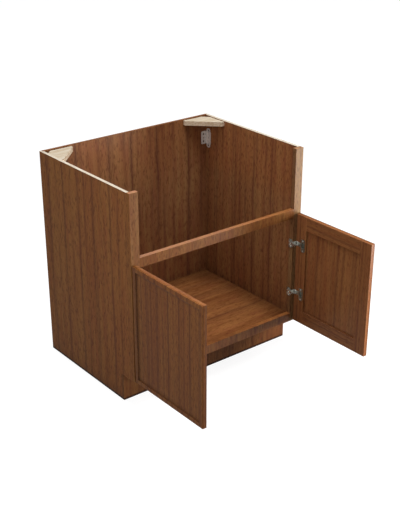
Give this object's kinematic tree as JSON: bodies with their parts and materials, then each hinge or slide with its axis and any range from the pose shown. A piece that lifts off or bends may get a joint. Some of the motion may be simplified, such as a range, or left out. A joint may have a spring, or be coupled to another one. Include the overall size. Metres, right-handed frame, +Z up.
{
  "type": "sink base cabinet",
  "caption": "Framed wooden base cabinet with a low apron rail for a front-apron sink, open top, toe space and two recessed-panel doors on wrap-around hinges.",
  "frame": {"origin": "on the floor, in the plane of the wall behind the cabinet, at the middle of its width", "axes": "+X to the right of someone who faces the cabinet, +Y from the front to the wall, +Z up"},
  "size_m": [0.8382, 1.0164, 0.8763],
  "materials": {
    "stained_wood": "satin brown stain",
    "panel_wood": "satin brown stain on veneered panel",
    "pale_wood": "raw",
    "hinge_steel": "plated, worn",
    "screw_steel": "plated"
  },
  "bodies": {
    "carcass": {"left_side_panel": "stained_wood", "left_stile": "stained_wood", "right_side_panel": "stained_wood", "right_stile": "stained_wood", "toe_kick_board": "stained_wood", "bottom_rail": "stained_wood", "apron_rail": "stained_wood", "back_panel": "panel_wood", "floor_panel": "panel_wood", "left_corner_brace": "pale_wood", "right_corner_brace": "pale_wood", "left_corner_bracket": "hinge_steel", "left_lower_hinge_plate": "hinge_steel", "left_lower_hinge_arm": "hinge_steel", "left_upper_hinge_plate": "hinge_steel", "left_upper_hinge_arm": "hinge_steel", "right_corner_bracket": "hinge_steel", "right_lower_hinge_plate": "hinge_steel", "right_lower_hinge_arm": "hinge_steel", "right_upper_hinge_plate": "hinge_steel", "right_upper_hinge_arm": "hinge_steel", "left_lower_hinge_pin": "screw_steel", "left_upper_hinge_pin": "screw_steel", "right_lower_hinge_pin": "screw_steel", "right_upper_hinge_pin": "screw_steel", "left_lower_adjusting_screw": "screw_steel", "left_lower_plate_screw_bottom": "screw_steel", "left_lower_plate_screw_top": "screw_steel", "left_upper_adjusting_screw": "screw_steel", "left_upper_plate_screw_bottom": "screw_steel", "left_upper_plate_screw_top": "screw_steel", "right_lower_adjusting_screw": "screw_steel", "right_lower_plate_screw_bottom": "screw_steel", "right_lower_plate_screw_top": "screw_steel", "right_upper_adjusting_screw": "screw_steel", "right_upper_plate_screw_bottom": "screw_steel", "right_upper_plate_screw_top": "screw_steel"},
    "left_door": {"left_door_hinge_stile": "stained_wood", "left_door_free_stile": "stained_wood", "left_door_bottom_rail": "stained_wood", "left_door_top_rail": "stained_wood", "left_door_panel": "panel_wood", "left_lower_hinge_cup": "hinge_steel", "left_upper_hinge_cup": "hinge_steel", "left_lower_cup_screw_bottom": "screw_steel", "left_lower_cup_screw_top": "screw_steel", "left_upper_cup_screw_bottom": "screw_steel", "left_upper_cup_screw_top": "screw_steel"},
    "right_door": {"right_door_hinge_stile": "stained_wood", "right_door_free_stile": "stained_wood", "right_door_bottom_rail": "stained_wood", "right_door_top_rail": "stained_wood", "right_door_panel": "panel_wood", "right_lower_hinge_cup": "hinge_steel", "right_upper_hinge_cup": "hinge_steel", "right_lower_cup_screw_bottom": "screw_steel", "right_lower_cup_screw_top": "screw_steel", "right_upper_cup_screw_bottom": "screw_steel", "right_upper_cup_screw_top": "screw_steel"}
  },
  "joints": [
    {"name": "left_door_hinge", "type": "hinge", "parent": "carcass", "child": "left_door", "pos_m": [-0.4018, -0.6162, 0.361], "axis": [0, 0, -1], "range_deg": [-90, 5]},
    {"name": "right_door_hinge", "type": "hinge", "parent": "carcass", "child": "right_door", "pos_m": [0.4018, -0.6162, 0.361], "axis": [0, 0, 1], "range_deg": [-90, 5]}
  ]
}
